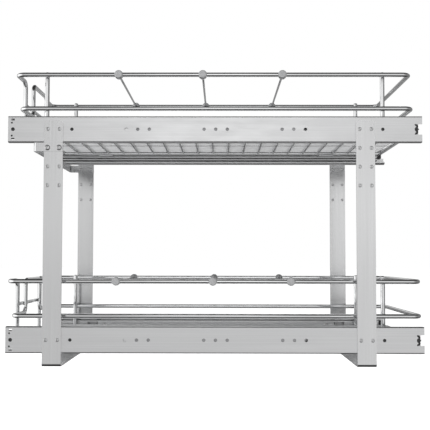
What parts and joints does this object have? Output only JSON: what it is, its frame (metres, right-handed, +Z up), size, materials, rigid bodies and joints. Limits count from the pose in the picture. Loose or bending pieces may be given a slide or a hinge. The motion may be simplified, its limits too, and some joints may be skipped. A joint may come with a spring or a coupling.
{
  "type": "pull-out cabinet basket",
  "caption": "Two-tier pull-out cabinet basket: wire baskets with dividers on ball-bearing slides, on U-bent floor strips.",
  "frame": {"origin": "on the floor under the middle of the slides: bottom centre of the bounding box", "axes": "+Z up; the baskets pull out along -Y; +X is the right-hand side seen from the front; the left and right halves mirror each other in X"},
  "size_m": [0.2874, 0.5545, 0.3952],
  "materials": {
    "plated_strip": "bright plated steel strip, faintly rolled along its length",
    "zinc_steel": "satin zinc-plated sheet steel",
    "chrome_wire": "polished chrome plating",
    "screw_steel": "plain zinc-plated screws",
    "cage_steel": "dull pressed steel, lightly greased",
    "ball_steel": "polished bearing balls",
    "grey_plastic": "moulded grey plastic",
    "liner_plastic": "light grey plastic sheet with a fine satin grain",
    "black_rubber": "black moulded rubber"
  },
  "bodies": {
    "frame": {"front_frame_strip": "plated_strip", "rear_frame_strip": "plated_strip", "cross_tie": "plated_strip", "cross_tie_screws": "screw_steel", "slide_fixing_screws": "screw_steel", "slide_rear_bumpers": "black_rubber", "upper_right_outer_member": "zinc_steel", "upper_left_outer_member": "zinc_steel", "lower_right_outer_member": "zinc_steel", "lower_left_outer_member": "zinc_steel"},
    "upper_basket": {"upper_right_inner_member": "zinc_steel", "upper_left_inner_member": "zinc_steel", "upper_top_rail": "chrome_wire", "upper_second_rail": "chrome_wire", "upper_front_bar": "chrome_wire", "upper_side_posts": "chrome_wire", "upper_floor_frame": "chrome_wire", "upper_floor_wires": "chrome_wire", "upper_floor_liner": "liner_plastic", "upper_mounting_tabs": "zinc_steel", "upper_mounting_screws": "screw_steel"},
    "upper_middle_members": {"upper_right_middle_member": "zinc_steel", "upper_left_middle_member": "zinc_steel"},
    "upper_outer_ball_cages": {"upper_right_outer_cage": "cage_steel", "upper_left_outer_cage": "cage_steel", "upper_outer_balls": "ball_steel"},
    "upper_inner_ball_cages": {"upper_right_inner_cage": "cage_steel", "upper_left_inner_cage": "cage_steel", "upper_inner_balls": "ball_steel"},
    "upper_front_divider_body": {"upper_front_divider": "chrome_wire", "upper_front_divider_clips": "grey_plastic"},
    "upper_middle_divider_body": {"upper_middle_divider": "chrome_wire", "upper_middle_divider_clips": "grey_plastic"},
    "upper_rear_divider_body": {"upper_rear_divider": "chrome_wire", "upper_rear_divider_clips": "grey_plastic"},
    "lower_basket": {"lower_right_inner_member": "zinc_steel", "lower_left_inner_member": "zinc_steel", "lower_top_rail": "chrome_wire", "lower_second_rail": "chrome_wire", "lower_front_bar": "chrome_wire", "lower_side_posts": "chrome_wire", "lower_floor_frame": "chrome_wire", "lower_floor_wires": "chrome_wire", "lower_floor_liner": "liner_plastic", "lower_mounting_tabs": "zinc_steel", "lower_mounting_screws": "screw_steel"},
    "lower_middle_members": {"lower_right_middle_member": "zinc_steel", "lower_left_middle_member": "zinc_steel"},
    "lower_outer_ball_cages": {"lower_right_outer_cage": "cage_steel", "lower_left_outer_cage": "cage_steel", "lower_outer_balls": "ball_steel"},
    "lower_inner_ball_cages": {"lower_right_inner_cage": "cage_steel", "lower_left_inner_cage": "cage_steel", "lower_inner_balls": "ball_steel"},
    "lower_front_divider_body": {"lower_front_divider": "chrome_wire", "lower_front_divider_clips": "grey_plastic"},
    "lower_middle_divider_body": {"lower_middle_divider": "chrome_wire", "lower_middle_divider_clips": "grey_plastic"},
    "lower_rear_divider_body": {"lower_rear_divider": "chrome_wire", "lower_rear_divider_clips": "grey_plastic"}
  },
  "joints": [
    {"name": "upper_basket_pull", "type": "slide", "parent": "frame", "child": "upper_basket", "axis": [0, -1, 0], "range_m": [0, 0.54]},
    {"name": "upper_middle_members_slide", "type": "slide", "parent": "frame", "child": "upper_middle_members", "axis": [0, -1, 0], "range_m": [0, 0.275]},
    {"name": "upper_outer_cages_roll", "type": "slide", "parent": "frame", "child": "upper_outer_ball_cages", "axis": [0, -1, 0], "range_m": [0, 0.14]},
    {"name": "upper_inner_cages_roll", "type": "slide", "parent": "frame", "child": "upper_inner_ball_cages", "axis": [0, -1, 0], "range_m": [0, 0.41]},
    {"name": "upper_front_divider_shift", "type": "slide", "parent": "upper_basket", "child": "upper_front_divider_body", "axis": [0, 1, 0], "range_m": [-0.045, 0.045]},
    {"name": "upper_middle_divider_shift", "type": "slide", "parent": "upper_basket", "child": "upper_middle_divider_body", "axis": [0, 1, 0], "range_m": [-0.045, 0.045]},
    {"name": "upper_rear_divider_shift", "type": "slide", "parent": "upper_basket", "child": "upper_rear_divider_body", "axis": [0, 1, 0], "range_m": [-0.045, 0.045]},
    {"name": "lower_basket_pull", "type": "slide", "parent": "frame", "child": "lower_basket", "axis": [0, -1, 0], "range_m": [0, 0.54]},
    {"name": "lower_middle_members_slide", "type": "slide", "parent": "frame", "child": "lower_middle_members", "axis": [0, -1, 0], "range_m": [0, 0.275]},
    {"name": "lower_outer_cages_roll", "type": "slide", "parent": "frame", "child": "lower_outer_ball_cages", "axis": [0, -1, 0], "range_m": [0, 0.14]},
    {"name": "lower_inner_cages_roll", "type": "slide", "parent": "frame", "child": "lower_inner_ball_cages", "axis": [0, -1, 0], "range_m": [0, 0.41]},
    {"name": "lower_front_divider_shift", "type": "slide", "parent": "lower_basket", "child": "lower_front_divider_body", "axis": [0, 1, 0], "range_m": [-0.045, 0.045]},
    {"name": "lower_middle_divider_shift", "type": "slide", "parent": "lower_basket", "child": "lower_middle_divider_body", "axis": [0, 1, 0], "range_m": [-0.045, 0.045]},
    {"name": "lower_rear_divider_shift", "type": "slide", "parent": "lower_basket", "child": "lower_rear_divider_body", "axis": [0, 1, 0], "range_m": [-0.045, 0.045]}
  ],
  "couplings": [
    {"joint": "upper_middle_members_slide", "follows": "upper_basket_pull", "ratio": 0.5},
    {"joint": "upper_outer_cages_roll", "follows": "upper_basket_pull", "ratio": 0.25},
    {"joint": "upper_inner_cages_roll", "follows": "upper_basket_pull", "ratio": 0.75},
    {"joint": "lower_middle_members_slide", "follows": "lower_basket_pull", "ratio": 0.5},
    {"joint": "lower_outer_cages_roll", "follows": "lower_basket_pull", "ratio": 0.25},
    {"joint": "lower_inner_cages_roll", "follows": "lower_basket_pull", "ratio": 0.75}
  ]
}
